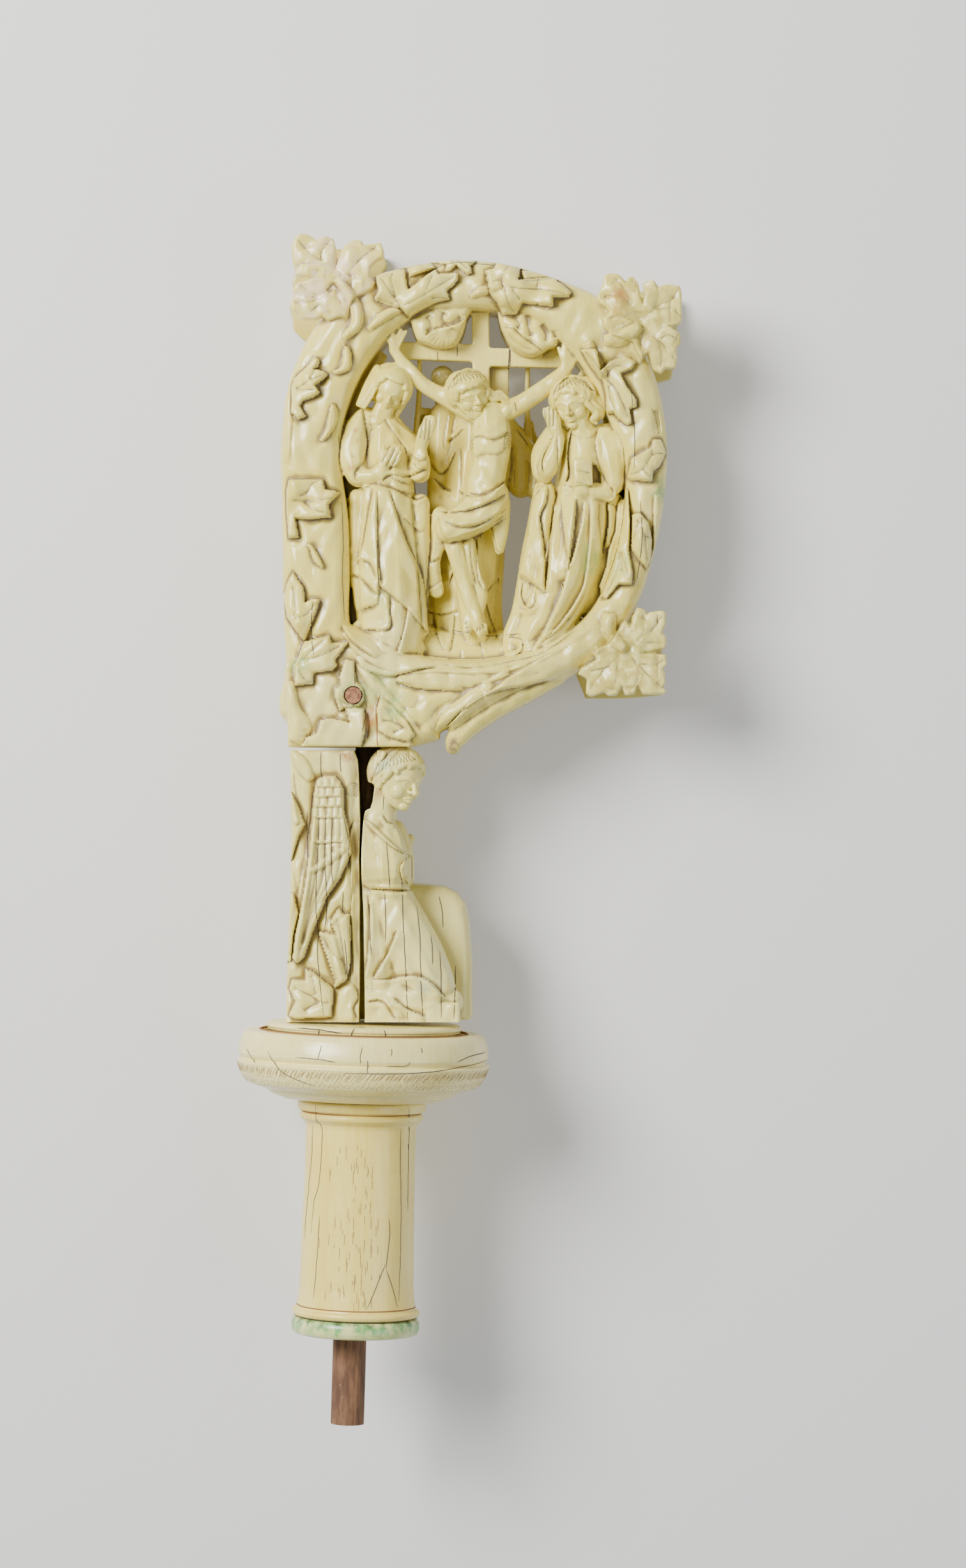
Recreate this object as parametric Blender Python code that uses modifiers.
# Carved ivory crosier head, lying on its back as it rests on a table.
# Run with: blender --background --python part.py
#
# The head is laid out on a drawing: X to the right, Y up the staff, Z out of the carved front face.
# All sizes below are millimetres on that drawing; objects are made in metres.
import math

import bmesh
import bpy
from mathutils import Matrix, Vector
from mathutils.bvhtree import BVHTree

MM = 0.001

# Turned pieces, from the staff end upwards
FOOT_RADIUS = 20.3
FOOT_HEIGHT = 5.4
FOOT_ROUNDING = 1.5
SHAFT_HEIGHT = 68.3
SHAFT_TOP_RADIUS = 17.5
SHAFT_FOOT_RADIUS = 18.4
SHAFT_BEAD_RADIUS = 20.2
SHAFT_BEAD_HEIGHT = 2.2
CAPITAL_RADIUS = 20.4
CAPITAL_HEIGHT = 7.0
CAPITAL_GROOVE = 0.7
KNOP_RADIUS = 40.0
KNOP_HEIGHT = 21.3
KNOP_RIM_RADIUS = 37.6
KNOP_REST_DROP = 7.6
KNOP_UNDER_RADIUS = 30.0
KNOP_RECESS_RADIUS = 32.4
KNOP_RECESS_DEPTH = 6.5
COLLAR_RADIUS = 31.0
COLLAR_EDGE = 2.6
COLLAR_NECK_RADIUS = 29.2
COLLAR_RISE = 0.1
TURNED_LEAN = 1.7
TURNED_TOP_CENTRE = 0.6
SHAFT_TENON_RADIUS = 9.0
SHAFT_TENON_HEIGHT = 8.0
TURNED_SIDES = 32

# Wooden pins
STAFF_DOWEL_RADIUS = 5.3
STAFF_DOWEL_OUT = 28.6
STAFF_DOWEL_IN = 30.0
STAFF_DOWEL_OFFSET = -1.6
CORE_DOWEL_RADIUS = 4.2
CORE_DOWEL_CENTRE = 2.0
CORE_DOWEL_IN_BLOCK = 34.0
CORE_DOWEL_IN_VOLUTE = 9.0
CROSS_PEG_RADIUS = 2.6
CROSS_PEG_OFFSET = -2.3
CROSS_PEG_RISE = 16.1
CROSS_PEG_PROUD = 0.6

# Carved blocks
BLOCK_HEIGHT = 85.2
BLOCK_DEPTH = 40.0
BLOCK_LEFT = 24.0
BLOCK_TO_VOLUTE = 1.0
VOLUTE_HEIGHT = 160.2
VOLUTE_WIDTH = 124.5
VOLUTE_DEPTH = 38.0
FRAME_ROUNDING = 6.0

# Clearance between pieces that touch
CONTACT_GAP = 0.3

# Where the carvings lie on the drawing, and the size that they are drawn at
BLOCK_DRAWN_FOOT = 98.9
BLOCK_DRAWN_HEIGHT = 85.2
BLOCK_DRAWN_DEPTH = 40.0
VOLUTE_DRAWN_FOOT = 185.3
VOLUTE_DRAWN_HEIGHT = 160.2
VOLUTE_DRAWN_WIDTH = 124.5
VOLUTE_DRAWN_DEPTH = 38.0

# Fineness of the carved solids
CARVING_GRAIN = 0.9
VOLUTE_FACES = 4500
BLOCK_FACES = 1600
PATH_STEPS = 4

# How far a cutting box reaches past what it trims
TRIM_REACH = 120.0

IVORY = (0.86, 0.80, 0.60, 1.0)
PALE_IVORY = (0.90, 0.86, 0.70, 1.0)
GREEN_IVORY = (0.62, 0.76, 0.54, 1.0)
DARK_WOOD = (0.10, 0.06, 0.04, 1.0)
RED_WOOD = (0.42, 0.22, 0.15, 1.0)
BROWN_WOOD = (0.27, 0.15, 0.10, 1.0)


def clear_scene():
    for obj in list(bpy.data.objects):
        bpy.data.objects.remove(obj)


def new_collection(name):
    collection = bpy.data.collections.new(name)
    bpy.context.scene.collection.children.link(collection)
    return collection


def new_material(name, colour, roughness=0.45):
    material = bpy.data.materials.new(name)
    material.use_nodes = True
    shader = material.node_tree.nodes["Principled BSDF"]
    shader.inputs["Base Color"].default_value = colour
    shader.inputs["Roughness"].default_value = roughness
    shader.inputs["Metallic"].default_value = 0.0
    return material


def new_empty(name, collection, parent=None):
    empty = bpy.data.objects.new(name, None)
    collection.objects.link(empty)
    empty.parent = parent
    return empty


def mesh_object(name, mesh, collection, parent=None, material=None):
    obj = bpy.data.objects.new(name, mesh)
    collection.objects.link(obj)
    obj.parent = parent
    if material:
        mesh.materials.append(material)
    return obj


def evaluated_mesh(obj):
    bpy.context.view_layer.update()
    graph = bpy.context.evaluated_depsgraph_get()
    return bpy.data.meshes.new_from_object(obj.evaluated_get(graph))


# Carving tools: strokes, lumps and plates are laid over one another, then fused into one solid

def smooth_path(points, steps=PATH_STEPS):
    """Points on a smooth curve through the given ones; any number of values a point."""
    points = [Vector(p) for p in points]
    path = []
    for i in range(len(points) - 1):
        before = points[max(i - 1, 0)]
        start, end = points[i], points[i + 1]
        after = points[min(i + 2, len(points) - 1)]
        for k in range(steps):
            t = k / steps
            path.append(
                0.5 * (2 * start + (end - before) * t
                       + (2 * before - 5 * start + 4 * end - after) * t * t
                       + (3 * start - before - 3 * end + after) * t ** 3)
            )
    path.append(points[-1])
    return path


def round_ends(path):
    """Adds a rounded cap beyond both ends of a path of (x, y, z, radius)."""
    def cap(end, inner):
        out = (end.xyz - inner.xyz).normalized()
        radius = end[3]
        ring = []
        for angle in (35, 65, 85):
            a = math.radians(angle)
            place = end.xyz + out * radius * math.sin(a)
            ring.append(Vector((*place, radius * math.cos(a))))
        return ring
    return cap(path[0], path[1])[::-1] + path + cap(path[-1], path[-2])


def strokes_mesh(strokes):
    """Rounded tubes whose radius changes along them, one for each list of (x, y, z, radius)."""
    curve = bpy.data.curves.new("strokes", "CURVE")
    curve.dimensions = "3D"
    curve.bevel_depth = 1.0
    curve.bevel_resolution = 2
    curve.use_fill_caps = True
    for stroke in strokes:
        path = round_ends(smooth_path(stroke))
        spline = curve.splines.new("POLY")
        spline.points.add(len(path) - 1)
        for point, at in zip(spline.points, path):
            point.co = (at[0], at[1], at[2], 1.0)
            point.radius = max(at[3], 0.05)
    obj = bpy.data.objects.new("strokes", curve)
    bpy.context.scene.collection.objects.link(obj)
    mesh = evaluated_mesh(obj)
    bpy.data.objects.remove(obj)
    return mesh


def lumps_mesh(lumps):
    """Ellipsoids, each (centre, radii, turn about Z in degrees)."""
    bm = bmesh.new()
    for centre, radii, turn in lumps:
        place = (Matrix.Translation(centre) @ Matrix.Rotation(math.radians(turn), 4, "Z")
                 @ Matrix.Diagonal((*radii, 1.0)))
        bmesh.ops.create_uvsphere(bm, u_segments=16, v_segments=10, radius=1.0, matrix=place)
    return finished(bm)


def boxes_mesh(boxes):
    """Boxes, each (centre, size, turn about Z in degrees)."""
    bm = bmesh.new()
    for centre, size, turn in boxes:
        place = (Matrix.Translation(centre) @ Matrix.Rotation(math.radians(turn), 4, "Z")
                 @ Matrix.Diagonal((*size, 1.0)))
        bmesh.ops.create_cube(bm, size=1.0, matrix=place)
    return finished(bm)


def finished(bm):
    mesh = bpy.data.meshes.new("forms")
    bm.to_mesh(mesh)
    bm.free()
    return mesh


def plate_mesh(outlines, low, high, rounding=0.0):
    """A flat outline with holes, from low to high in Z, its edges rounded inwards."""
    curve = bpy.data.curves.new("plate", "CURVE")
    curve.dimensions = "2D"
    curve.fill_mode = "BOTH"
    curve.extrude = (high - low) / 2 - rounding
    curve.bevel_depth = rounding
    curve.bevel_resolution = 2
    curve.offset = -rounding
    for outline in outlines:
        spline = curve.splines.new("POLY")
        spline.points.add(len(outline) - 1)
        spline.use_cyclic_u = True
        for point, at in zip(spline.points, outline):
            point.co = (at[0], at[1], 0.0, 1.0)
    obj = bpy.data.objects.new("plate", curve)
    bpy.context.scene.collection.objects.link(obj)
    mesh = evaluated_mesh(obj)
    bpy.data.objects.remove(obj)
    mesh.transform(Matrix.Translation((0, 0, (low + high) / 2)))
    return mesh


def smooth_loop(points, steps=PATH_STEPS):
    """A closed smooth outline through the given points."""
    count = len(points)
    ring = [points[-1], *points, points[0], points[1 % count]]
    path = smooth_path([(*p, 0.0, 0.0) for p in ring], steps)
    return [(p[0], p[1]) for p in path[steps:-2 * steps]]


def leaf_lobes(centre, tips, thick, thin):
    """The raised lobes of a leaf: a ridge of (x, y, radius) from its middle out to each tip."""
    ridges = []
    for x, y in tips:
        dx, dy = x - centre[0], y - centre[1]
        ridges.append([(centre[0] + dx * k, centre[1] + dy * k, thick + (thin - thick) * k)
                       for k in (0.18, 0.5, 0.86)])
    return ridges


def joined_mesh(meshes):
    bm = bmesh.new()
    for mesh in meshes:
        bm.from_mesh(mesh)
        bpy.data.meshes.remove(mesh)
    return finished(bm)


def surface_of(mesh):
    bm = bmesh.new()
    bm.from_mesh(mesh)
    tree = BVHTree.FromBMesh(bm)
    bm.free()
    return tree


def height_on(tree, x, y, side, missing):
    """How far out the surface lies at x, y, seen from the front (side 1) or the back (side -1)."""
    hit = tree.ray_cast(Vector((x, y, side * 80.0)), Vector((0, 0, -side)))[0]
    return side * hit.z if hit is not None else missing


def draped_strokes(tree, strokes, side=1, sink=0.25, missing=8.0):
    """Ridges (x, y, radius) laid on a surface and sunk into it by a share of their radius."""
    laid = []
    for stroke in strokes:
        path = smooth_path([(x, y, 0.0, r) for x, y, r in stroke], 3)
        laid.append([
            (p[0], p[1], side * (height_on(tree, p[0], p[1], side, missing) - sink * p[3]), p[3])
            for p in path
        ])
    return laid


def draped_plate(tree, outline, lift, thick, side=1, missing=8.0, grain=1.0):
    """An outline laid on a surface like cloth or a leaf, standing proud of it by lift."""
    mesh = plate_mesh([outline], -thick, 0.0)
    obj = bpy.data.objects.new("draped", mesh)
    bpy.context.scene.collection.objects.link(obj)
    remesh = obj.modifiers.new("grain", "REMESH")
    remesh.mode = "VOXEL"
    remesh.voxel_size = grain
    fine = evaluated_mesh(obj)
    bpy.data.objects.remove(obj)
    bpy.data.meshes.remove(mesh)
    for vertex in fine.vertices:
        x, y, z = vertex.co
        vertex.co.z = side * (height_on(tree, x, y, side, missing) + lift + z)
    return fine


def leaf_outline(centre, tips, waist=0.36, spread=34.0, count=72):
    """A lobed leaf: one lobe out to each tip, with a toothed edge and narrow bays between lobes."""
    lobes = []
    for x, y in tips:
        dx, dy = x - centre[0], y - centre[1]
        lobes.append((math.atan2(dy, dx), math.hypot(dx, dy)))
    longest = max(length for _, length in lobes)
    outline = []
    for i in range(count):
        angle = 2 * math.pi * i / count
        reach = waist * longest * 0.6
        for lobe_angle, length in lobes:
            off = abs((angle - lobe_angle + math.pi) % (2 * math.pi) - math.pi)
            share = off / math.radians(spread)
            if share < 1.0:
                tooth = 1.0 - 0.10 * (share * 2.6 % 1.0)
                reach = max(reach, length * tooth * (1.0 - share ** 1.6) ** 0.55)
        outline.append((centre[0] + reach * math.cos(angle), centre[1] + reach * math.sin(angle)))
    return outline


def largest_body(mesh):
    """Drops the specks and closed bubbles that fusing can leave, and keeps the one large body."""
    bm = bmesh.new()
    bm.from_mesh(mesh)
    left = set(bm.verts)
    bodies = []
    while left:
        start = left.pop()
        body, reach = [start], [start]
        while reach:
            for edge in reach.pop().link_edges:
                for vertex in edge.verts:
                    if vertex in left:
                        left.remove(vertex)
                        body.append(vertex)
                        reach.append(vertex)
        bodies.append(body)
    bodies.sort(key=len, reverse=True)
    specks = [vertex for body in bodies[1:] for vertex in body]
    bmesh.ops.delete(bm, geom=specks, context="VERTS")
    bm.to_mesh(mesh)
    bm.free()


def carved_object(name, mesh, collection, parent, material, faces, grain=CARVING_GRAIN):
    """Fuses overlapping forms into one solid, softens it and keeps about the given face count."""
    forms = mesh_object(name + "_forms", mesh, collection)
    fuse = forms.modifiers.new("fuse", "REMESH")
    fuse.mode = "VOXEL"
    fuse.voxel_size = grain * MM
    fused = evaluated_mesh(forms)
    bpy.data.objects.remove(forms)
    largest_body(fused)
    fused.calc_loop_triangles()
    obj = mesh_object(name, fused, collection, parent, material)
    soften = obj.modifiers.new("soften", "SMOOTH")
    soften.factor = 0.5
    soften.iterations = 2
    thin = obj.modifiers.new("thin", "DECIMATE")
    thin.ratio = min(1.0, faces / len(fused.loop_triangles))
    return obj


def cut(obj, cutter):
    boolean = obj.modifiers.new(cutter.name, "BOOLEAN")
    boolean.operation = "DIFFERENCE"
    boolean.solver = "EXACT"
    boolean.object = cutter
    return boolean


def cylinder(name, radius, start, end, centre, collection, parent, material=None, sides=24, along="Y"):
    """A round bar from start to end along Y or Z; centre gives its other two drawn coordinates."""
    bm = bmesh.new()
    length = (end - start) * MM
    middle = (start + end) / 2 * MM
    turn = Matrix.Rotation(math.radians(7), 4, "Z")
    if along == "Y":
        place = (Matrix.Translation((centre[0] * MM, middle, centre[1] * MM))
                 @ Matrix.Rotation(math.radians(90), 4, "X") @ turn)
    else:
        place = Matrix.Translation((centre[0] * MM, centre[1] * MM, middle)) @ turn
    bmesh.ops.create_cone(bm, cap_ends=True, segments=sides, radius1=radius * MM,
                          radius2=radius * MM, depth=length, matrix=place)
    obj = mesh_object(name, finished(bm), collection, parent, material)
    return obj


def hide_cutter(obj):
    obj.hide_render = True
    obj.display_type = "WIRE"
    return obj


# The volute: a frame of bent vine stem, open inside, with figures before and behind the cross

FRAME_OUTER = [
    (-22.6, 192), (-23.6, 212), (-24.6, 235), (-24.9, 262), (-25.2, 282), (-22.6, 300),
    (-16.5, 314), (-8, 325), (2, 332), (14, 336.0), (28, 338.0), (42, 337.4), (54, 334.6),
    (64, 331.2), (75, 326.2), (84.6, 317), (91, 305), (94.6, 292), (96.0, 278), (95.0, 262),
    (92.0, 247), (87.4, 232), (79.4, 218.5), (67.6, 208.5), (54, 202.6), (42, 198.6), (33, 193.6),
    (25, 190.2), (20, 187.2),
]
FRAME_FOOT = [(15.5, VOLUTE_DRAWN_FOOT), (-22.8, VOLUTE_DRAWN_FOOT)]
# The plain shoulder that the frame stands on, as (x, height above the drawn foot)
SHOULDER = [(-22.8, 0), (-23.4, 26.7), (-6, 26.7), (16.5, 14.7), (15.5, 0)]
# How far the shoulder's underside reaches to the right, before the broken stem
VOLUTE_BED_RIGHT = 22.5
FRAME_INNER = [
    (-3.6, 224), (-3.6, 240), (-4, 256), (-5.6, 268), (-6.6, 277), (-5.4, 288), (-1.5, 299),
    (4, 308.5), (10, 315.5), (17, 320.5), (26, 322.6), (40, 322.6), (50, 321), (58, 316.5),
    (65, 310), (71, 302), (76, 292), (80, 282), (82.6, 270), (82, 256), (79, 243), (75, 233),
    (69, 225), (60, 218.5), (50, 214.8), (38, 212.8), (24, 213.2), (12, 216), (2, 221),
]

# Stems on the frame's front, as (x, y, radius)
FRAME_STEMS = [
    [(-6, 222.5, 0.8), (-1, 218.5, 2.2), (6, 213.6, 3.0), (16, 210.6, 3.2), (30, 209.4, 3.4),
     (44, 209.8, 3.2), (56, 213, 2.8), (66, 218, 2.2), (76, 226, 2.2)],
    [(11, 206, 1.0), (20, 204.6, 2.2), (31, 204.8, 3.0), (42, 205.8, 2.8), (52, 209, 2.4),
     (60, 212, 1.4)],
    [(2, 208, 1.0), (9, 199.5, 2.4), (14, 193.5, 2.6), (18.5, 188, 2.2)],
    [(20, 189.5, 2.0), (22, 196, 2.4), (29, 200.5, 2.4), (36, 204, 1.6)],
    [(-5, 313.5, 1.2), (-2.6, 319, 1.4), (-3.4, 325, 1.4), (-7, 330.5, 1.2)],
    [(2.5, 316.5, 1.0), (6.5, 319.5, 1.3), (12, 322.5, 1.2)],
    [(34, 325, 1.0), (38, 328, 1.3), (44, 328.6, 1.2)],
    [(77, 313, 1.2), (82, 313.4, 1.6), (87, 317, 1.4)],
    [(69, 311, 1.2), (72.5, 308, 1.5), (76, 301, 1.2)],
    [(77.5, 227, 1.6), (78, 221, 1.8), (82.5, 215.5, 1.4)],
    [(-4.2, 309, 0.8), (-4.6, 303, 1.4), (-8, 300.5, 1.0)],
    [(-8.4, 291.5, 0.8), (-10, 286.5, 1.5), (-13, 280.5, 1.2)],
    [(-18.6, 248.5, 0.8), (-16, 245.5, 1.3), (-13, 240.5, 0.8)],
    [(-21.8, 206, 1.4), (-21.6, 198, 1.7), (-19.8, 191, 2.0), (-20.4, 186.5, 1.4)],
]

# The broken stem that leaves the frame below, as (x, y, z, radius)
BROKEN_STEM = [(62, 207.5, 0, 2.5), (52, 203.5, 0, 4.0), (42, 198.6, 0, 4.4), (33.8, 192.6, 0, 4.0),
               (29.6, 187.6, 0, 3.2), (28.8, 185.4, 0, 2.4)]
BROKEN_STEM_LAYERS = (-11.5, -4.0, 4.0, 11.5)

# Leaves on the frame's front: (centre, tips of the lobes)
FRAME_LEAVES = [
    ((13, 323.5), [(4.5, 333), (12.5, 335), (23, 337), (30.3, 333.5), (27.5, 326), (18, 322), (5, 325)]),
    ((45, 328.5), [(38.5, 334), (42.5, 337), (49.5, 336.5), (61, 332), (66, 326), (60, 323.5),
                   (49, 321.5)]),
    ((28.5, 336), [(23.5, 337.5), (29, 338.6), (34.5, 334)]),
    ((-17.5, 297.5), [(-20.5, 301), (-14.2, 306.5), (-10.5, 301), (-12.8, 296), (-18.6, 288),
                      (-22, 292)]),
    ((-22, 262.5), [(-22, 270), (-11.5, 268.5), (-6.5, 264.6), (-9.5, 257), (-21, 250.5)]),
    ((-22.5, 277), [(-23.5, 285.5), (-19.2, 279.5), (-21, 269.5)]),
    ((-20.6, 226), [(-21, 239.8), (-13, 231.5), (-17.8, 218.6), (-22.6, 214)]),
    ((-20, 210.5), [(-10.5, 219.6), (-4, 217.8), (-7.5, 211), (-15.5, 205.3), (-20.5, 204.5)]),
    ((-2.4, 201.5), [(-4.8, 212.5), (-8, 202.5), (-5.8, 196), (2.4, 196), (3.4, 204.5)]),
    ((-6, 190), [(-18.5, 186.2), (-13.5, 193), (-3, 194), (2.5, 190)]),
    ((77, 303), [(69, 308.8), (85, 305.5), (86, 292), (84, 286), (77.5, 291), (76, 310)]),
    ((90.5, 275.5), [(84, 268.6), (84.8, 275.5), (92.5, 281.5), (95, 277), (92.5, 268.2)]),
    ((87.5, 249), [(85.5, 258), (90.5, 254), (90.8, 242.5), (85, 246)]),
    ((80.5, 246), [(82.5, 258), (84.8, 236.5), (77, 232), (76.6, 248)]),
    ((94, 258), [(93.5, 264), (95.5, 254.5), (92, 247)]),
]

# Corner leaves standing out of the frame on front and back
CORNER_LEAVES = {
    "top_left": ((-8.6, 331), [(-21.6, 343.6), (-10.5, 345.8), (-1.2, 344.4), (6.6, 343), (7.4, 331.5),
                               (3.5, 322.5), (-8.6, 311.5), (-18.8, 313.6), (-23.2, 324.5),
                               (-22.8, 335.5)]),
    "top_right": ((87, 318), [(76.5, 332.8), (84.5, 332.2), (91.8, 331.2), (100, 329.4), (100.3, 320.5),
                              (99.6, 312), (98.5, 303), (92.5, 301.5), (87.6, 305.5), (76, 316.5),
                              (73.5, 326)]),
    "lower_right": ((83.5, 214.8), [(87.6, 228), (95.2, 227.8), (96, 218.5), (96, 210.4),
                                    (95.6, 200.8), (84, 200.2), (71, 200.8), (68, 208.6),
                                    (74.5, 215), (81, 224.5)]),
}
CORNER_FRONT = 19.6
CORNER_BACK = {"top_left": 19.6, "top_right": 20.5, "lower_right": 19.0}
CORNER_THICK = 5.0
CORNER_BOSS = {"top_left": ((-8.5, 331), 9.0), "top_right": ((86.5, 317.5), 9.5),
               "lower_right": ((82.5, 216), 9.0)}

# The cross, cut from the middle of the block
CROSS_BOXES = [
    ((37.5, 312.5, 2.5), (5.4, 28, 5.0), 0.5),
    ((23, 310.9, 2.5), (26, 5.0, 5.0), -2.0),
    ((52, 309.1, 2.5), (24, 5.6, 5.0), -1.5),
    ((43, 302, -2.0), (6.6, 11, 6.0), 0),
]

# Figures, as strokes of (x, y, z, radius). The near ones stand before the cross
MOURNING_WOMAN = {
    "robe": [(8, 284, 7, 6.5), (8, 272, 8, 8), (8.2, 258, 8, 9.2), (8.4, 244, 8, 10.6),
             (9, 230, 8, 11), (9.6, 220, 8, 10.5)],
    "left_fall": [(-1.5, 264, 8, 2.6), (-1.4, 252, 8, 2.8), (-0.6, 240, 8, 3), (0.6, 230, 8, 3)],
    "right_fall": [(18.6, 262, 9, 3), (18.8, 248, 9, 2.6), (18.9, 234, 9, 2.2), (19.3, 222, 9, 2)],
    "train": [(-1, 223.5, 10, 1.6), (4, 220, 11, 2.4), (10, 217, 11, 3.4), (17, 216.5, 10, 3)],
    "sleeve": [(1.5, 288, 8, 4.5), (-2, 283, 9, 4.8), (-2.6, 276, 10, 4.8), (-1, 270.8, 11, 4)],
    "forearm": [(0, 270.2, 12.5, 3), (3.5, 270, 14.4, 2.4), (6.6, 272.6, 15.2, 2)],
    "hand": [(7.2, 274, 15.6, 2), (9.5, 276.6, 16, 2.1), (11.6, 278.2, 16, 1.4)],
    "far_sleeve": [(10.6, 284.6, 8, 3.8), (14.8, 280.4, 8, 3.8), (17.6, 275, 9, 4), (18.4, 271.5, 11, 3.4)],
    "far_cuff": [(18.2, 273.6, 12.6, 3.2), (18.6, 277.4, 13.6, 2.7)],
    "far_hand": [(18.8, 279.6, 14, 2.3), (20, 283.4, 14.4, 2.3), (21.6, 287.4, 14.6, 1.5)],
    "neck": [(5.5, 287, 9, 3.8), (7.2, 292, 10.5, 3.4)],
    "veil_side": [(2.2, 302.5, 11, 2.6), (0, 297, 11, 2.6), (-1, 293.6, 11, 1.8)],
    "veil_far_side": [(14, 302, 10.5, 2), (13.8, 298, 10.5, 2), (11, 292, 8.5, 1.8)],
}
MOURNING_MAN = {
    "robe": [(70, 281, 8, 6.6), (70, 272, 8.5, 7.6), (69.4, 262, 8, 8.6), (67.4, 250, 8, 9.6),
             (64, 238, 8, 10), (59, 227, 8, 9), (54, 219, 8, 7)],
    "left_fall": [(57.5, 266, 8, 3.6), (56.4, 255, 8, 4.4), (54.6, 245, 8, 4.6), (52.6, 236, 8, 4),
                  (49.8, 227, 8, 3), (47, 220.5, 8, 2.6), (47.4, 215.5, 9, 2.6)],
    "right_fall": [(78.6, 262, 7, 4), (76.6, 250, 6.5, 4.6), (73.6, 239, 6.5, 4.4), (70, 230, 6.5, 3.6)],
    "upper_arm": [(61, 283.5, 8, 4), (57.6, 277.5, 9, 4.2), (57.2, 272, 10.4, 3.8)],
    "forearm": [(58.4, 272.6, 12.6, 3.2), (60.6, 277.6, 13.2, 2.7), (62, 282, 13.4, 2.1)],
    "hand": [(61.4, 284, 13.6, 2), (60, 287.2, 13.8, 2.3), (58.8, 290.4, 13.6, 1.5)],
    "sleeve": [(76.6, 283, 8, 4.4), (78.8, 277, 9, 4.8), (79, 269.6, 10, 4.6), (77, 266, 12, 3.2)],
    "cuff": [(77.6, 264.4, 13, 2.6), (72.5, 265.2, 14.6, 2.2), (68.6, 266, 15, 2)],
    "neck": [(70, 283, 9, 4.2), (68.4, 288, 10.5, 3.8)],
}
CRUCIFIED = {
    "trunk": [(40.6, 288.6, 10, 5.8), (40.6, 281, 10.6, 6.6), (40.2, 274, 10.4, 5.8),
              (38.6, 267.6, 10.6, 6.2)],
    "hips": [(39.6, 264, 10.4, 7), (36.5, 259.4, 11, 6.8), (31.5, 256, 12, 5.6),
             (27.2, 253.6, 13, 4.2)],
    "hip_fall": [(43, 262, 8, 4), (43.4, 254, 8, 3), (43.4, 247.5, 8, 1.6)],
    "cloth_fall": [(25, 258, 10, 3), (24, 250, 9.6, 2.6), (22.6, 243, 9, 2.2), (23.6, 234.5, 8, 2.4)],
    "shin": [(28.6, 250, 10.4, 3.0), (30.6, 243, 10, 2.7), (33.2, 234, 10.2, 2.5),
             (35.8, 226.4, 11.4, 2.4), (37.2, 221, 12.4, 1.6)],
    "far_shin": [(33.4, 249, 8.6, 2.6), (35, 241, 8.4, 2.4), (37.4, 234, 8.8, 2.4), (36.6, 228, 9.4, 2)],
    "far_foot": [(33.6, 225.6, 10.6, 2), (33.8, 220.2, 11.4, 1.7)],
    "arm": [(35, 290, 11, 3.2), (29, 293.6, 10.6, 2.9), (24, 296.4, 10.4, 2.6), (19.4, 299.2, 10.4, 2.4),
            (16, 302.6, 10.4, 2.4), (12.4, 307, 10.4, 1.8), (9.8, 310.6, 10.4, 1.7),
            (8.4, 315.4, 10.8, 1.2)],
    "thumb": [(9.8, 311.6, 10.6, 1.2), (12.4, 315.6, 10.8, 0.9)],
    "far_arm": [(46, 291, 11, 3.3), (50.4, 293.2, 11, 3), (55, 296.2, 11, 2.9), (59.8, 299.6, 11, 2.8),
                (63.4, 302.8, 11, 2.4), (64.4, 306, 11.4, 1.8), (62.8, 310.4, 11.6, 1.3)],
    "far_thumb": [(65, 305.8, 11.6, 1.4), (66.8, 308.8, 11.8, 1)],
    "lock": [(41, 294.6, 9, 1.6), (44, 295.6, 8.4, 1.4), (46.6, 293.4, 8.6, 1)],
}
FAR_WOMAN = {
    "robe": [(37, 288, -5, 9.4), (36.6, 276, -5.4, 11.4), (33.6, 262, -5.4, 11), (32.8, 248, -5.4, 12),
             (32.2, 234, -5.4, 11.6), (32.4, 222, -5.4, 11)],
    "left_side": [(25.6, 290, -3, 4.8), (25, 276, -3, 4.6), (24.4, 262, -3, 4)],
    "left_foot": [(24.6, 250, -5, 4), (23.8, 234, -5, 4), (22.6, 221, -4, 4.4)],
    "right_side": [(48.2, 284.6, -5, 3.4), (50.2, 276.4, -5, 3.8), (50.2, 268.4, -5, 4)],
    "right_shoulder": [(45, 288.4, -4, 3.4), (50, 281, -5, 4), (55, 275, -5, 3.4), (55, 267, -4, 3.2)],
    "lower_side": [(41, 258, -5, 4.4), (41, 246, -5, 4.2), (40.4, 232, -5, 4), (41, 220, -5, 4)],
    "neck": [(40, 290, -8, 4), (41.6, 296, -8, 4)],
    "child": [(26, 284, -12, 4), (26.4, 291, -10, 3.6), (25.6, 299, -8, 3)],
}
FAR_LEFT_FIGURE = {
    "robe": [(8, 284, -8, 7), (8, 270, -8.6, 8.6), (8.4, 254, -9, 9.4), (8.8, 238, -9, 9.6),
             (9.4, 222, -9, 9.4)],
    "wing": [(0, 288, -10, 3), (-1.4, 276, -11, 3.6), (-1, 262, -11, 3), (0, 250, -10, 2)],
    "arm": [(13, 283, -11, 3.2), (17.6, 279, -13, 2.8), (19.2, 286, -12, 2.2), (19, 291, -8, 1.8)],
}
FAR_RIGHT_FIGURE = {
    "robe": [(69, 282, -8, 7), (69.4, 270, -8.6, 8.4), (67.6, 254, -9, 9), (63.6, 240, -9, 9),
             (58.6, 228, -9, 8.2), (54, 220, -9, 7)],
    "wing": [(78, 286, -10, 3), (79.4, 275, -11, 3.4), (78, 262, -11, 3), (75.4, 250, -10, 2.4)],
    "arm": [(62, 283, -11, 3.2), (57, 279, -13, 2.8), (53.6, 284, -12, 2.2), (52.8, 288, -8, 1.8)],
}
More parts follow.
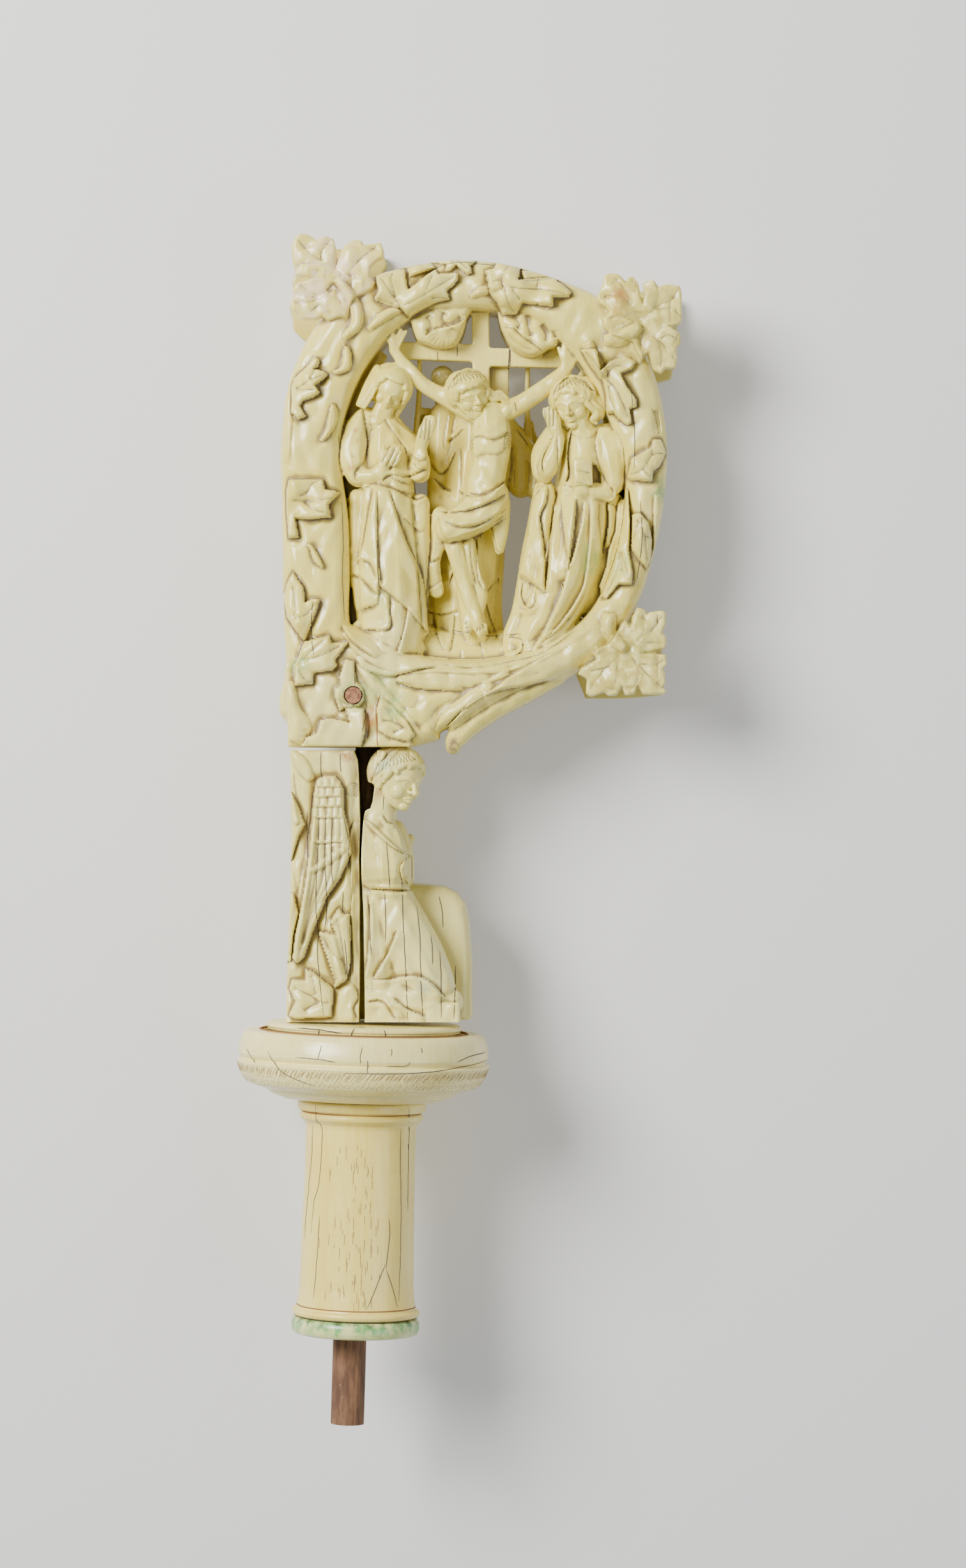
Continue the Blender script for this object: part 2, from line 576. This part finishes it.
# The ivory between the near figures and the far ones
CORES = [
    [(8, 287, 0, 5), (8, 270, 0, 7), (8.4, 250, 0, 8), (9, 222, 0, 8)],
    [(70, 282, 0, 5), (69, 264, 0, 7), (64, 240, 0, 8), (55, 219, 0, 6)],
    [(40.4, 288, 2, 5), (40.4, 276, 2, 5.6), (38.4, 266, 2, 6), (33, 256, 2, 7)],
    [(32, 244, 4, 4), (34, 232, 4, 4), (36, 221, 5, 4)],
    [(4, 217, 0, 8), (20, 215, 0, 9), (34, 213, 0, 9), (48, 214, 0, 9), (58, 218, 0, 7)],
]
CANDLES = [
    [(18.1, 309.6, -1.0, 0.8), (17.9, 297, -4.0, 0.9), (16.8, 283, -6.0, 1.2)],
    [(52.4, 307, -1.0, 0.8), (52.2, 294, -4.0, 0.9), (52.8, 281, -6.0, 1.4)],
    [(18, 292, -5.0, 1.2), (21.5, 292, -5.0, 1.2)],
]

# Heads, clouds and other rounded masses: (centre, radii, turn)
VOLUTE_LUMPS = [
    ((8.4, 299.2, 10), (6.2, 7.4, 6.2), -12),
    ((9.2, 296.4, 13), (4.6, 5.8, 4.2), -14),
    ((66.8, 293.6, 10.4), (6.6, 7.6, 6.2), 8),
    ((66.2, 291, 13), (4.8, 5.6, 4.2), 6),
    ((72.6, 292.6, 9), (3.8, 5.4, 4.4), 20),
    ((33, 297.4, 12.4), (5.4, 6.6, 5), 32),
    ((36, 293.2, 14), (4.0, 5.4, 3.8), 32),
    ((28.6, 295.6, 11), (2.6, 4.2, 3.4), 25),
    ((24.8, 317.4, 8.6), (8.8, 6.4, 7), -4),
    ((52, 316.2, 8.6), (8.8, 8, 7), -18),
    ((58, 311.6, 8), (4, 3.4, 5), -30),
    ((25.3, 303.2, -7), (3.7, 3.6, 3.4), 0),
    ((42, 299.6, -9.6), (4.6, 5.4, 4.8), 0),
    ((8.2, 297.6, -10.6), (5, 6.2, 5), 0),
    ((68, 291.8, -10.6), (5.2, 6.2, 5), 0),
    ((25, 317.8, -8.6), (8.4, 6.4, 7), 4),
    ((52, 316.6, -8.6), (8.6, 7.6, 7), 18),
]
BOOK = ((69.6, 270.6, 15.2), (6.2, 7.6, 3.4), 4)

# Cloth that lies over the figures: (outline, how proud it stands)
MANTLES = [
    ([(-4.2, 267), (4, 267.4), (10, 264), (17, 262.4), (21.4, 264.6), (21.6, 250), (20.2, 234),
      (20.8, 221.4), (15, 228), (9, 233.2), (5.6, 235.4), (5, 229.8), (-3.4, 227.4)], 1.3),
    ([(60, 268), (55.4, 267), (53, 261), (51.6, 249), (49, 239), (57.6, 233.6), (59, 244),
      (61.4, 258)], 1.4),
    ([(80.4, 264), (73.6, 262), (70.4, 248), (69.2, 235.6), (73.6, 231.6), (76.6, 240), (79.6, 252)], 1.0),
]
# Folds, as ridges of (x, y, radius) on the figures' fronts
FRONT_FOLDS = [
    [(4, 267, 1.0), (2.6, 255, 1.5), (-0.4, 243, 1.8)],
    [(8, 265, 0.9), (8.6, 250, 1.3), (10, 236, 1.5), (12, 219, 1.4)],
    [(17, 262, 1.2), (17.6, 248, 1.4), (18.4, 234, 1.3), (19.6, 223, 1.2)],
    [(-3, 268, 1.4), (4, 267.6, 1.2), (11, 264.6, 1.3), (20.6, 266, 1.2)],
    [(7.6, 271.6, 1.0), (14, 268.6, 1.2), (20.4, 272, 1.1)],
    [(-2.4, 239.6, 1.0), (1.4, 243, 1.4), (3.4, 239, 1.3), (5, 231.6, 1.1)],
    [(66.4, 263, 1.1), (66.6, 252, 1.5), (64, 242, 1.6), (59.6, 231, 1.5), (52.6, 219, 1.3)],
    [(70.8, 262.6, 1.1), (70.8, 250, 1.5), (67.6, 239, 1.6), (62.4, 227, 1.5), (56, 217, 1.2)],
    [(74.6, 262, 1.0), (75, 250, 1.3), (73, 240, 1.4), (70, 234, 1.2)],
    [(61, 264, 1.1), (61.6, 252, 1.4), (60, 241, 1.4), (56, 229, 1.3), (50, 219, 1.1)],
    [(57.4, 264, 1.0), (56.4, 252, 1.4), (57.4, 242, 1.5), (57.2, 235.6, 1.2)],
    [(31, 267, 1.0), (34, 263.6, 1.5), (40, 264, 1.4), (46, 269, 1.1)],
    [(24, 259.6, 1.2), (32, 259.4, 1.6), (40, 262, 1.5), (46.6, 266, 1.2)],
    [(27, 249.4, 1.4), (33, 252, 1.6), (40, 255.6, 1.5), (46, 259.6, 1.2)],
    [(27.6, 287, 0.8), (27, 276, 1.1), (30, 266, 1.0)],
    [(23, 276, 0.9), (28, 271, 1.1), (31.6, 281, 0.9)],
    [(26, 228, 1.0), (26.6, 222, 1.2), (27.6, 215, 1.2)],
    [(40, 247, 1.2), (40.4, 236, 1.4), (42, 224, 1.4)],
]
BACK_FOLDS = [
    [(30, 284, 1.2), (29, 266, 1.6), (28, 246, 1.8), (28, 226, 1.6)],
    [(38, 280, 1.2), (38, 262, 1.6), (38, 244, 1.8), (38, 224, 1.6)],
    [(28, 268, 1.2), (34, 262, 1.8), (42, 270, 1.2)],
    [(26, 256, 1.2), (33, 249, 1.8), (42, 258, 1.2)],
    [(5, 270, 1.1), (4, 252, 1.5), (4, 234, 1.6), (5, 220, 1.4)],
    [(11, 270, 1.1), (12, 252, 1.5), (13, 234, 1.6), (14, 220, 1.4)],
    [(66, 270, 1.1), (65, 254, 1.5), (61, 240, 1.6), (55, 226, 1.4)],
    [(72, 268, 1.1), (71, 252, 1.5), (67, 239, 1.6), (61, 226, 1.4)],
]


def frame_forms():
    plates = [
        plate_mesh([smooth_loop(FRAME_OUTER)[:-1] + FRAME_FOOT, smooth_loop(FRAME_INNER)],
                   -VOLUTE_DRAWN_DEPTH / 2 + 1.5, VOLUTE_DRAWN_DEPTH / 2 - 1.5, FRAME_ROUNDING),
        plate_mesh([[(x, VOLUTE_DRAWN_FOOT + rise) for x, rise in SHOULDER]],
                   -VOLUTE_DRAWN_DEPTH / 2 + 1.5, VOLUTE_DRAWN_DEPTH / 2 - 1.5, 0.8),
    ]
    layers = [[(x, y, z + layer, r) for x, y, z, r in BROKEN_STEM] for layer in BROKEN_STEM_LAYERS]
    plates.append(strokes_mesh(layers))
    for corner, (middle, radius) in CORNER_BOSS.items():
        plates.append(lumps_mesh([((*middle, 0.0), (radius, radius, 16.0), 0)]))
    return joined_mesh(plates)


def figure_forms():
    near = [s for figure in (MOURNING_WOMAN, MOURNING_MAN, CRUCIFIED) for s in figure.values()]
    far = [s for figure in (FAR_WOMAN, FAR_LEFT_FIGURE, FAR_RIGHT_FIGURE) for s in figure.values()]
    return joined_mesh([
        strokes_mesh(near + far + CORES + CANDLES),
        lumps_mesh(VOLUTE_LUMPS),
        boxes_mesh([*CROSS_BOXES, BOOK]),
    ])


def volute_forms():
    """Everything carved from the upper block, on the drawing, in millimetres."""
    frame = frame_forms()
    figures = figure_forms()
    frame_surface = surface_of(frame)
    figure_surface = surface_of(figures)
    forms = [frame, figures]
    frame_face = VOLUTE_DRAWN_DEPTH / 2 - 3
    for side in (1, -1):
        forms.append(strokes_mesh(draped_strokes(frame_surface, FRAME_STEMS, side, 0.1, frame_face)))
        for centre, tips in FRAME_LEAVES:
            outline = leaf_outline(centre, tips)
            forms.append(draped_plate(frame_surface, outline, 1.4, 4.0, side, frame_face - 3))
            lobes = leaf_lobes(centre, tips, 2.0, 1.0)
            forms.append(strokes_mesh(draped_strokes(frame_surface, lobes, side, -0.2, frame_face - 3)))
    for corner, (centre, tips) in CORNER_LEAVES.items():
        outline = leaf_outline(centre, tips, 1.05, 21.0, 120)
        lobes = leaf_lobes(centre, tips, 4.6, 2.2)
        front, back = CORNER_FRONT, -CORNER_BACK[corner]
        forms.append(plate_mesh([outline], front - CORNER_THICK, front - 1.2))
        forms.append(plate_mesh([outline], back, back + CORNER_THICK - 1.2))
        forms.append(strokes_mesh([[(x, y, front - r, r) for x, y, r in lobe] for lobe in lobes]))
        forms.append(strokes_mesh([[(x, y, back + 0.5 + r, r) for x, y, r in lobe] for lobe in lobes]))
    for outline, lift in MANTLES:
        forms.append(draped_plate(figure_surface, outline, lift, 3.0, 1, 8.0))
    forms.append(strokes_mesh(draped_strokes(figure_surface, FRONT_FOLDS)))
    forms.append(strokes_mesh(draped_strokes(figure_surface, BACK_FOLDS, -1)))
    return joined_mesh(forms)


# The lower block: a trunk with an angel kneeling before it

TRUNK = [(-23.6, 98), (-23.2, 118), (-22.2, 140), (-22.0, 160), (-22.4, 186), (10, 186),
         (10, 168), (9.6, 158), (10, 140), (14, 98)]
ANGEL = {
    "back": [(1, 163, 8, 5), (2, 155, 8, 7), (3, 147, 8, 8)],
    "shoulder": [(6, 160, 9, 5), (8, 154, 10, 6), (8.6, 147, 10, 6.6)],
    "breast": [(10, 158, 3, 4.4), (12.4, 151, 4, 4), (12.6, 144, 4, 4)],
    "neck": [(6.4, 160, 8, 4), (8.2, 168, 8, 3.6)],
    "thigh": [(8, 137, 8, 8.4), (12, 128, 8, 9.4), (17, 118, 8, 9.6), (20.6, 110, 8, 9)],
    "seat": [(4, 136, 8, 7), (4, 124, 8, 8), (5, 113, 8, 8)],
    "shin": [(1, 106, 9, 6), (10, 106, 10, 6.4), (20, 105.6, 10, 6), (27, 105, 8.6, 5)],
    "foot": [(-1, 111, 11, 2.6), (-4.4, 107.6, 13, 2.8), (-6.2, 103.6, 13.4, 2.4)],
    "hand": [(13, 153, 1, 2.6), (15, 156, 0, 1.8)],
}
ANGEL_LUMPS = [
    ((11.4, 177.4, 8), (7.8, 9.4, 7), -8),
    ((13.6, 172.4, 8), (4.8, 6.4, 5.4), -14),
    ((6.4, 179, 9), (4.6, 7, 6), 0),
    ((-2.4, 171.6, 11), (3.4, 4, 3), 0),
]
SLEEVE = ([(-0.4, 163), (3.4, 161), (9.4, 155.4), (15.6, 150.6), (15.6, 142.4), (14.6, 140.4),
           (3, 140.6), (-0.4, 142.4)], 1.6)
WING = ([(-14.4, 172), (-11.6, 175.8), (-8, 175.8), (-5.6, 172), (-5, 164), (-3.4, 157), (-3, 152),
         (-8, 142), (-14, 132), (-18, 119), (-21.4, 118), (-20.4, 126), (-16.8, 142), (-15.6, 160)], 1.8)
REAR_ROBE = [(8, 142.4), (20.4, 141.6), (26, 141.0), (30, 139.0), (32.8, 135.6), (34.0, 129), (34.8, 117),
             (34.8, 106), (35, 101), (34, 97), (8, 97)]
BLOCK_LEAVES = [
    ((-9, 119), [(-6.8, 134.6), (-3.6, 131.8), (-5.6, 112), (-8.4, 109.6), (-13.6, 127.4)]),
    ((-15.5, 108), [(-17.4, 115), (-8.6, 109.4), (-9.4, 101), (-20.6, 101), (-22, 109.8), (-20, 106)]),
    ((-20.6, 158), [(-21, 171), (-17.6, 160.6), (-21, 147)]),
    ((-20.4, 130), [(-21.4, 139.4), (-19, 133), (-21, 118)]),
]
BLOCK_FOLDS = [
    [(2.4, 139, 1.0), (2.6, 126, 1.4), (1.4, 113.6, 1.2)],
    [(11.4, 127, 0.8), (8.4, 120, 1.4), (4.4, 113, 1.0)],
    [(16, 139.4, 1.0), (20, 132, 1.4), (28, 124.6, 1.3)],
    [(2, 111.4, 1.2), (14, 113, 1.8), (22, 110.4, 1.6), (27.6, 105.6, 1.0)],
    [(2, 106, 1.0), (7, 105, 1.4), (11, 100.8, 1.2)],
    [(1, 162, 1.0), (7, 156, 1.5), (14.6, 151, 1.2)],
]
# The crack runs the full height and opens into a wedge at the top
CRACK = [(-3.5, 188), (-1.2, 181), (-0.7, 170), (-0.4, 160), (-0.7, 150), (-0.6, 142), (-0.5, 120),
         (-0.6, 95), (1.1, 95), (1.0, 120), (0.7, 135), (0.3, 143), (0.1, 150), (0.6, 160), (1.3, 165),
         (3.6, 168), (4.8, 188)]
CRACK_FLOOR = -2.0


def block_forms():
    """Everything carved from the lower block, on the drawing, in millimetres."""
    half = BLOCK_DRAWN_DEPTH / 2
    body = joined_mesh([
        plate_mesh([TRUNK], -half, half - 6, 3.0),
        plate_mesh([TRUNK[:5] + [(-1, 186), (-2.6, 160), (-1, 98)]], -half, half - 4, 3.0),
        plate_mesh([REAR_ROBE], -half, 1.0, 4.0),
        plate_mesh([[(-23.4, 97), (-23.4, 105), (31, 105), (31, 97)]], -half + 2, half - 5, 1.0),
        strokes_mesh(ANGEL.values()),
        lumps_mesh(ANGEL_LUMPS),
    ])
    surface = surface_of(body)
    forms = [body]
    for outline, lift in (SLEEVE, WING):
        forms.append(draped_plate(surface, outline, lift, 3.0, 1, half - 6))
    for centre, tips in BLOCK_LEAVES:
        for side in (1, -1):
            forms.append(draped_plate(surface, leaf_outline(centre, tips), 1.4, 3.0, side, half - 8))
    forms.append(strokes_mesh(draped_strokes(surface, BLOCK_FOLDS, 1, 0.2)))
    forms.append(strokes_mesh(draped_strokes(surface, BLOCK_FOLDS, -1, 0.2)))
    return joined_mesh(forms)


# Heights up the axis of the turned pieces, from the underside of the foot ring

def turned_heights():
    shaft_foot = FOOT_HEIGHT + CONTACT_GAP
    shaft_top = shaft_foot + SHAFT_HEIGHT
    knop_foot = shaft_top + CONTACT_GAP
    knop_top = knop_foot + KNOP_HEIGHT
    collar_foot = knop_top - KNOP_RECESS_DEPTH + CONTACT_GAP
    collar_top = knop_top + COLLAR_RISE + COLLAR_EDGE
    return shaft_foot, shaft_top, knop_foot, knop_top, collar_foot, collar_top


SHAFT_FOOT, SHAFT_TOP, KNOP_FOOT, KNOP_TOP, COLLAR_FOOT, COLLAR_TOP = turned_heights()
BLOCK_FOOT = COLLAR_TOP + CONTACT_GAP + BLOCK_LEFT * math.sin(math.radians(TURNED_LEAN))
BLOCK_TOP = BLOCK_FOOT + BLOCK_HEIGHT
VOLUTE_FOOT = BLOCK_TOP + BLOCK_TO_VOLUTE


def turned_object(name, profile, collection, parent, material):
    """A solid turned about Y; profile is (radius, height) from the top of the axis to its bottom."""
    bm = bmesh.new()
    points = [bm.verts.new((radius * MM, height * MM, 0.0)) for radius, height in profile]
    for upper, lower in zip(points, points[1:]):
        bm.edges.new((upper, lower))
    obj = mesh_object(name, finished(bm), collection, parent, material)
    screw = obj.modifiers.new("turn", "SCREW")
    screw.axis = "Y"
    screw.steps = TURNED_SIDES
    screw.render_steps = TURNED_SIDES
    screw.use_merge_vertices = True
    screw.merge_threshold = 0.00001
    screw.use_smooth_shade = True
    return obj


def foot_profile():
    r, h, e = FOOT_RADIUS, FOOT_HEIGHT, FOOT_ROUNDING
    return [(0, h), (r - e, h), (r - 0.3 * e, h - 0.3 * e), (r, h - e), (r, e),
            (r - 0.3 * e, 0.3 * e), (r - e, 0), (0, 0)]


def shaft_profile():
    foot, top = SHAFT_FOOT, SHAFT_TOP
    bead = foot + SHAFT_BEAD_HEIGHT
    capital = top - CAPITAL_HEIGHT
    return [
        (0, top + SHAFT_TENON_HEIGHT), (SHAFT_TENON_RADIUS, top + SHAFT_TENON_HEIGHT),
        (SHAFT_TENON_RADIUS, top), (CAPITAL_RADIUS - 0.6, top), (CAPITAL_RADIUS, top - 0.8),
        (CAPITAL_RADIUS - 0.2, top - 3.2), (CAPITAL_RADIUS - 0.8 - CAPITAL_GROOVE, top - 3.8),
        (CAPITAL_RADIUS - 1.0, top - 4.4), (CAPITAL_RADIUS - 1.0, top - 5.8),
        (SHAFT_TOP_RADIUS, capital - 1.0), (SHAFT_TOP_RADIUS, (capital + bead) / 2),
        (SHAFT_FOOT_RADIUS - 0.4, bead + 6), (SHAFT_FOOT_RADIUS + 0.4, bead),
        (SHAFT_BEAD_RADIUS, bead - 0.7), (SHAFT_BEAD_RADIUS - 0.4, foot), (0, foot),
    ]


def knop_profile():
    foot, top = KNOP_FOOT, KNOP_TOP
    floor = top - KNOP_RECESS_DEPTH
    return [
        (0, floor), (KNOP_RECESS_RADIUS, floor), (KNOP_RECESS_RADIUS, top),
        (KNOP_RIM_RADIUS - 1.0, top), (KNOP_RIM_RADIUS + 0.4, top - 1.2),
        (KNOP_RADIUS - 0.7, top - 4.0), (KNOP_RADIUS, top - 8.0), (KNOP_RADIUS - 0.6, top - 10.2),
        (KNOP_RADIUS - 2.0, top - 11.2), (KNOP_RADIUS - 1.6, top - 12.0),
        (KNOP_RADIUS - 2.0, top - 15.0), (KNOP_RADIUS - 3.8, top - 16.6),
        (KNOP_UNDER_RADIUS + 1.0, foot + 3.2), (KNOP_UNDER_RADIUS - 1.6, foot + 1.4),
        (KNOP_UNDER_RADIUS - 5.0, foot), (0, foot),
    ]


def collar_profile():
    top, under = COLLAR_TOP, COLLAR_TOP - COLLAR_EDGE
    return [(0, top), (COLLAR_RADIUS - 0.9, top), (COLLAR_RADIUS - 0.2, top - 0.4),
            (COLLAR_RADIUS, top - 1.2), (COLLAR_RADIUS - 0.3, under + 0.4), (COLLAR_RADIUS - 0.9, under),
            (COLLAR_NECK_RADIUS, under), (COLLAR_NECK_RADIUS, COLLAR_FOOT), (0, COLLAR_FOOT)]


def drawn_to_volute():
    across = VOLUTE_WIDTH / VOLUTE_DRAWN_WIDTH
    up = VOLUTE_HEIGHT / VOLUTE_DRAWN_HEIGHT
    out = VOLUTE_DEPTH / VOLUTE_DRAWN_DEPTH
    return (Matrix.Scale(MM, 4) @ Matrix.Translation((0, VOLUTE_FOOT, 0))
            @ Matrix.Diagonal((across, up, out, 1.0)) @ Matrix.Translation((0, -VOLUTE_DRAWN_FOOT, 0)))


def drawn_to_block():
    up = BLOCK_HEIGHT / BLOCK_DRAWN_HEIGHT
    out = BLOCK_DEPTH / BLOCK_DRAWN_DEPTH
    return (Matrix.Scale(MM, 4) @ Matrix.Translation((0, BLOCK_FOOT, 0))
            @ Matrix.Diagonal((1.0, up, out, 1.0)) @ Matrix.Translation((0, -BLOCK_DRAWN_FOOT, 0)))


def trim_box(name, low, high, collection, parent):
    """A cutting box from one corner to the other, in millimetres."""
    middle = [(a + b) / 2 for a, b in zip(low, high)]
    size = [b - a for a, b in zip(low, high)]
    mesh = boxes_mesh([(middle, size, 0)])
    mesh.transform(Matrix.Scale(MM, 4))
    return hide_cutter(mesh_object(name, mesh, collection, parent))


def rest_tilt():
    """How far the head leans back when its knop and the top leaves of its volute touch the table."""
    knop_height = KNOP_TOP - KNOP_REST_DROP
    out = VOLUTE_DEPTH / VOLUTE_DRAWN_DEPTH
    leaf_tip = CORNER_LEAVES["top_left"][1][0]
    leaf_height = VOLUTE_FOOT + (leaf_tip[1] - VOLUTE_DRAWN_FOOT) * VOLUTE_HEIGHT / VOLUTE_DRAWN_HEIGHT
    return math.atan2(KNOP_RADIUS - CORNER_BACK["top_left"] * out, leaf_height - knop_height)


def build():
    clear_scene()
    parts = new_collection("crosier_head")
    cutters = new_collection("cutters")
    ivory = new_material("ivory", IVORY)
    carved_ivory = new_material("pale_ivory", PALE_IVORY)
    knop_ivory = new_material("knop_ivory", PALE_IVORY)
    collar_ivory = new_material("collar_ivory", IVORY)
    shaft_ivory = new_material("shaft_ivory", IVORY)
    foot_ivory = new_material("green_stained_ivory", GREEN_IVORY)
    dark_wood = new_material("dark_wood", DARK_WOOD, 0.8)
    red_wood = new_material("red_wood", RED_WOOD, 0.7)
    brown_wood = new_material("brown_wood", BROWN_WOOD, 0.8)

    rest = new_empty("rest", parts)
    turned = new_empty("turned", parts, rest)
    lean = Matrix.Rotation(-math.radians(TURNED_LEAN), 4, "Z")
    pivot = Matrix.Translation((TURNED_TOP_CENTRE * MM, COLLAR_TOP * MM, 0))
    turned.matrix_local = pivot @ lean @ Matrix.Translation((0, -COLLAR_TOP * MM, 0))

    # Turned pieces
    foot = turned_object("foot_ring", foot_profile(), parts, turned, foot_ivory)
    shaft = turned_object("shaft", shaft_profile(), parts, turned, shaft_ivory)
    knop = turned_object("knop", knop_profile(), parts, turned, knop_ivory)
    turned_object("collar_disc", collar_profile(), parts, turned, collar_ivory)
    dowel_centre = (STAFF_DOWEL_OFFSET, 0.0)
    cylinder("staff_dowel", STAFF_DOWEL_RADIUS, -STAFF_DOWEL_OUT, STAFF_DOWEL_IN, dowel_centre,
             parts, turned, brown_wood, 28)
    staff_bore = hide_cutter(cylinder(
        "staff_bore", STAFF_DOWEL_RADIUS + CONTACT_GAP, -5, STAFF_DOWEL_IN + CONTACT_GAP, dowel_centre,
        cutters, turned, sides=28))
    cut(foot, staff_bore)
    cut(shaft, staff_bore)
    tenon_bore = hide_cutter(cylinder(
        "tenon_bore", SHAFT_TENON_RADIUS + CONTACT_GAP, KNOP_FOOT - 5,
        SHAFT_TOP + SHAFT_TENON_HEIGHT + CONTACT_GAP, (0, 0), cutters, turned, sides=TURNED_SIDES))
    cut(knop, tenon_bore)

    # Carved blocks
    mesh = volute_forms()
    mesh.transform(drawn_to_volute())
    volute = carved_object("volute", mesh, parts, rest, ivory, VOLUTE_FACES)
    mesh = block_forms()
    mesh.transform(drawn_to_block())
    block = carved_object("angel_block", mesh, parts, rest, carved_ivory, BLOCK_FACES)
    far = TRIM_REACH
    cut(volute, trim_box("volute_bed", (-far, VOLUTE_FOOT - far, -far),
                         (VOLUTE_BED_RIGHT, VOLUTE_FOOT, far), cutters, rest))
    cut(block, trim_box("block_bed", (-far, BLOCK_FOOT - far, -far), (far, BLOCK_FOOT, far), cutters, rest))
    cut(block, trim_box("block_crown", (-far, BLOCK_TOP, -far), (far, BLOCK_TOP + far, far), cutters, rest))
    crack = plate_mesh([CRACK], CRACK_FLOOR, BLOCK_DRAWN_DEPTH)
    crack.transform(drawn_to_block())
    cut(block, hide_cutter(mesh_object("crack", crack, cutters, rest)))

    # Pins
    dowel_low = BLOCK_TOP - CORE_DOWEL_IN_BLOCK
    dowel_high = VOLUTE_FOOT + CORE_DOWEL_IN_VOLUTE
    centre = (CORE_DOWEL_CENTRE, 0.0)
    cylinder("core_dowel", CORE_DOWEL_RADIUS, dowel_low, dowel_high, centre, parts, rest, dark_wood, 20)
    core_bore = hide_cutter(cylinder("core_bore", CORE_DOWEL_RADIUS + CONTACT_GAP, dowel_low - CONTACT_GAP,
                                     dowel_high + CONTACT_GAP, centre, cutters, rest, sides=20))
    cut(block, core_bore)
    cut(volute, core_bore)
    across = VOLUTE_WIDTH / VOLUTE_DRAWN_WIDTH
    up = VOLUTE_HEIGHT / VOLUTE_DRAWN_HEIGHT
    peg_centre = (CROSS_PEG_OFFSET * across, VOLUTE_FOOT + CROSS_PEG_RISE * up)
    half = VOLUTE_DEPTH / 2
    cylinder("cross_peg", CROSS_PEG_RADIUS, -half + 1, half + CROSS_PEG_PROUD, peg_centre, parts, rest,
             red_wood, 18, along="Z")
    peg_bore = hide_cutter(cylinder("peg_bore", CROSS_PEG_RADIUS + CONTACT_GAP, -half - 10, half + 10,
                                    peg_centre, cutters, rest, sides=18, along="Z"))
    cut(volute, peg_bore)

    settle(rest, parts)


def settle(rest, parts):
    """Tilts the head onto its back, then sets it on the table with the middle of its box at X=Y=0."""
    rest.matrix_local = Matrix.Rotation(-rest_tilt(), 4, "X")
    bpy.context.view_layer.update()
    low, high = [math.inf] * 3, [-math.inf] * 3
    graph = bpy.context.evaluated_depsgraph_get()
    for obj in parts.objects:
        if obj.type != "MESH":
            continue
        evaluated = obj.evaluated_get(graph)
        mesh = evaluated.to_mesh()
        for vertex in mesh.vertices:
            place = evaluated.matrix_world @ vertex.co
            for axis in range(3):
                low[axis] = min(low[axis], place[axis])
                high[axis] = max(high[axis], place[axis])
        evaluated.to_mesh_clear()
    shift = Vector((-(low[0] + high[0]) / 2, -(low[1] + high[1]) / 2, -low[2]))
    rest.matrix_local = Matrix.Translation(shift) @ rest.matrix_local
    bpy.context.view_layer.update()


build()
